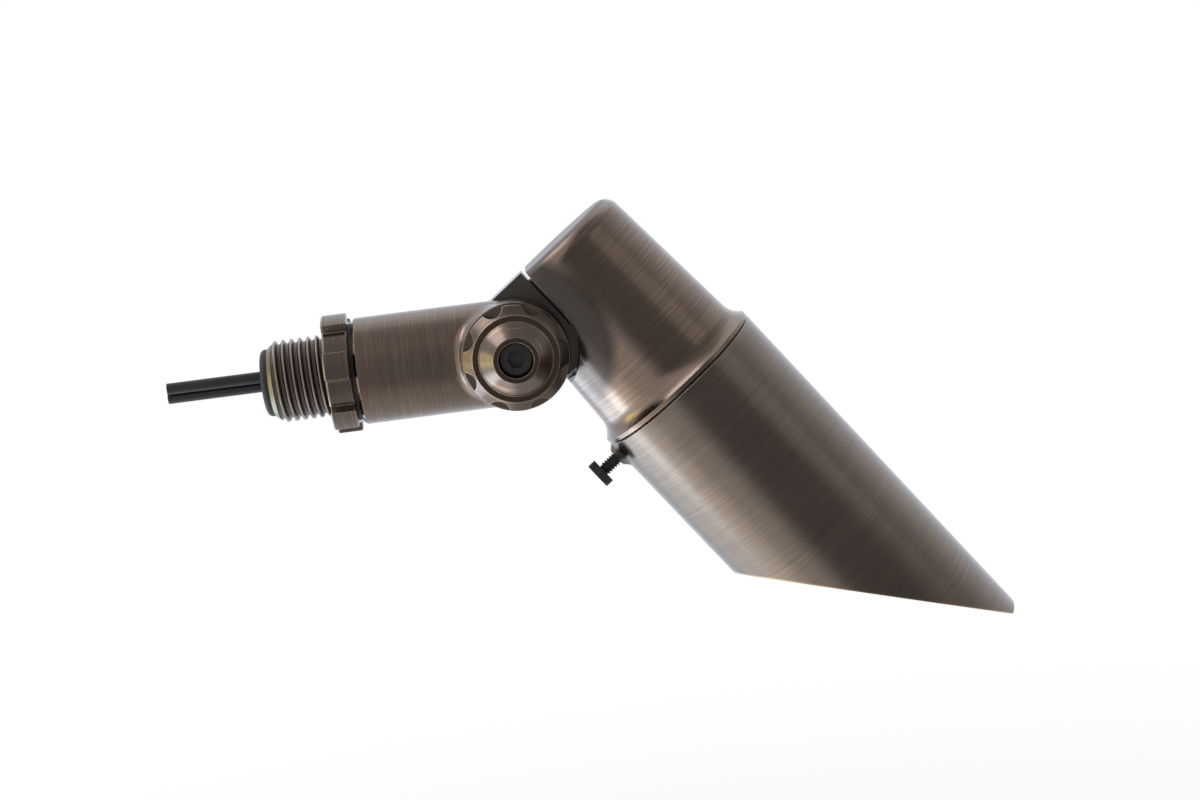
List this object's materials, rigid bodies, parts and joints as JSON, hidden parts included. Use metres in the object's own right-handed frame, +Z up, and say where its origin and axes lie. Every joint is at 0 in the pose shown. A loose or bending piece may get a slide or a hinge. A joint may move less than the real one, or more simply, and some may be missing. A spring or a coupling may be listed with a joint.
{
  "type": "outdoor downlight",
  "caption": "Adjustable outdoor downlight: round arm on a threaded nipple with lock nut, clamp-knob knuckle, tapered lamp housing and slant-cut slip-on hood held by a thumb screw.",
  "frame": {"origin": "centre of the threaded nipple's free end", "axes": "+X along the arm from the nipple to the knuckle, +Z up, the clamp knob on the -Y side"},
  "size_m": [0.209, 0.0497, 0.1217],
  "materials": {
    "bronze": "brushed, antiqued",
    "rubber": "matte",
    "lead_jacket": "satin",
    "steel": "satin",
    "black_steel": "satin black",
    "nylon": "natural",
    "ceramic": "unglazed",
    "glass": "clear",
    "reflector": "faceted coating",
    "lamp_jacket": "woven sleeve"
  },
  "bodies": {
    "arm": {"knuckle_arm": "bronze", "pivot_bushing": "steel", "lead_grommet": "rubber", "supply_leads": "lead_jacket"},
    "nut_carrier": {"nut_washer": "rubber"},
    "nut": {"lock_nut": "bronze"},
    "head": {"knuckle_lug": "bronze", "thread_insert": "steel", "friction_washer": "nylon", "knuckle_seal": "rubber", "lug_gasket": "rubber", "lug_screws": "steel", "lamp_housing": "bronze", "lamp_holder": "ceramic", "holder_bracket": "steel", "bracket_screws": "steel", "lamp_reflector": "reflector", "lamp_cover": "glass", "lamp_base": "ceramic", "lamp_pins": "steel", "lamp_capsule": "glass", "lamp_retainer": "steel", "lamp_leads": "lamp_jacket", "lens_gasket": "rubber", "lens": "glass", "lens_ring": "bronze"},
    "knob_carrier": {"spring_washer": "steel"},
    "knob": {"clamp_knob": "bronze", "pivot_bolt": "steel"},
    "hood_carrier": {"hood_seal": "rubber"},
    "hood": {"hood": "bronze"},
    "tip_carrier": {"screw_tip": "nylon"},
    "thumb": {"thumb_screw": "black_steel"}
  },
  "joints": [
    {"name": "nut_slide", "type": "slide", "parent": "arm", "child": "nut_carrier", "axis": [-1, 0, 0], "range_m": [0, 0.007]},
    {"name": "nut_turn", "type": "hinge", "parent": "nut_carrier", "child": "nut", "pos_m": [0.01795, 0, 0], "axis": [-1, 0, 0], "range_deg": [0, 1178]},
    {"name": "head_tilt", "type": "hinge", "parent": "arm", "child": "head", "pos_m": [0.06255, 0, 0], "axis": [0, 1, 0], "range_deg": [-53, 70]},
    {"name": "knob_slide", "type": "slide", "parent": "head", "child": "knob_carrier", "axis": [0, -1, 0], "range_m": [0, 0.0012]},
    {"name": "knob_turn", "type": "hinge", "parent": "knob_carrier", "child": "knob", "pos_m": [0.06255, -0.02, 0], "axis": [0, -1, 0], "range_deg": [0, 541]},
    {"name": "hood_slide", "type": "slide", "parent": "head", "child": "hood_carrier", "axis": [0.5892, 0, -0.808], "range_m": [0, 0.0115]},
    {"name": "hood_turn", "type": "hinge", "parent": "hood_carrier", "child": "hood", "pos_m": [0.10644, 0, -0.0175], "axis": [0.5892, 0, -0.808], "continuous": true},
    {"name": "thumb_slide", "type": "slide", "parent": "hood", "child": "tip_carrier", "axis": [-0.8064, -0.0628, -0.588], "range_m": [0, 0.0024]},
    {"name": "thumb_turn", "type": "hinge", "parent": "tip_carrier", "child": "thumb", "pos_m": [0.08083, -0.00188, -0.0332], "axis": [-0.8064, -0.0628, -0.588], "range_deg": [0, 1089]}
  ],
  "couplings": [
    {"joint": "nut_turn", "follows": "nut_slide", "rad_per_m": 2936.1},
    {"joint": "knob_turn", "follows": "knob_slide", "rad_per_m": 7854},
    {"joint": "thumb_turn", "follows": "thumb_slide", "rad_per_m": 7913.3}
  ]
}
